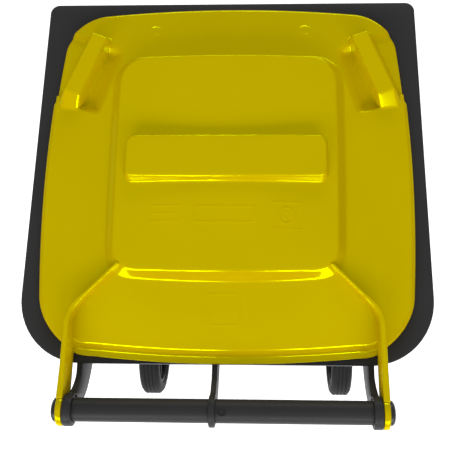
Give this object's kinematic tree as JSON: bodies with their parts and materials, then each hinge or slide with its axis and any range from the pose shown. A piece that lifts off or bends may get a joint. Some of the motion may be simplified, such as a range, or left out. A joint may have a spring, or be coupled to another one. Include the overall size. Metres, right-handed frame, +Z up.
{
  "type": "two-wheeled waste bin",
  "caption": "Tall tapered two-wheeled waste bin with a comb rim, a hinged domed lid with corner grips, a round handle bar at the rear, a steel axle and rubber-tyred wheels.",
  "frame": {"origin": "on the ground under the centre of the bounding box", "axes": "+Z up, -Y towards the front (the comb side), +Y towards the handle and wheels, +X to the bin's left when it is seen from the handle side"},
  "size_m": [0.48, 0.528, 0.93],
  "materials": {
    "bin_plastic": "fine moulded texture, satin",
    "lid_plastic": "smooth, glossy",
    "pin_plastic": "satin",
    "wheel_plastic": "satin",
    "tyre_rubber": "matt",
    "axle_steel": "zinc plated",
    "spring_steel": "drawn wire"
  },
  "bodies": {
    "bin": {"body": "bin_plastic", "handle_bar": "bin_plastic", "hinge_pin_left": "pin_plastic", "hinge_pin_right": "pin_plastic", "axle": "axle_steel", "axle_spacer_left": "pin_plastic", "axle_spacer_right": "pin_plastic"},
    "lid": {"lid": "lid_plastic"},
    "wheel_left_body": {"wheel_left": "wheel_plastic", "tyre_left": "tyre_rubber", "hub_cap_left": "pin_plastic", "lock_spring_left": "spring_steel"},
    "lock_left": {"lock_pin_left": "axle_steel"},
    "wheel_right_body": {"wheel_right": "wheel_plastic", "tyre_right": "tyre_rubber", "hub_cap_right": "pin_plastic", "lock_spring_right": "spring_steel"},
    "lock_right": {"lock_pin_right": "axle_steel"}
  },
  "joints": [
    {"name": "lid_hinge", "type": "hinge", "parent": "bin", "child": "lid", "pos_m": [0, 0.245, 0.9], "axis": [-1, 0, 0], "range_deg": [0, 270]},
    {"name": "wheel_left_spin", "type": "hinge", "parent": "bin", "child": "wheel_left_body", "pos_m": [-0.205, 0.141, 0.1], "axis": [1, 0, 0], "continuous": true},
    {"name": "lock_left_slide", "type": "slide", "parent": "wheel_left_body", "child": "lock_left", "axis": [0, 0, 1], "range_m": [0, 0.002], "stiffness_N_per_m": 400, "springref_m": -0.003, "deforming": ["lock_spring_left"]},
    {"name": "wheel_right_spin", "type": "hinge", "parent": "bin", "child": "wheel_right_body", "pos_m": [0.205, 0.141, 0.1], "axis": [1, 0, 0], "continuous": true},
    {"name": "lock_right_slide", "type": "slide", "parent": "wheel_right_body", "child": "lock_right", "axis": [0, 0, 1], "range_m": [0, 0.002], "stiffness_N_per_m": 400, "springref_m": -0.003, "deforming": ["lock_spring_right"]}
  ]
}
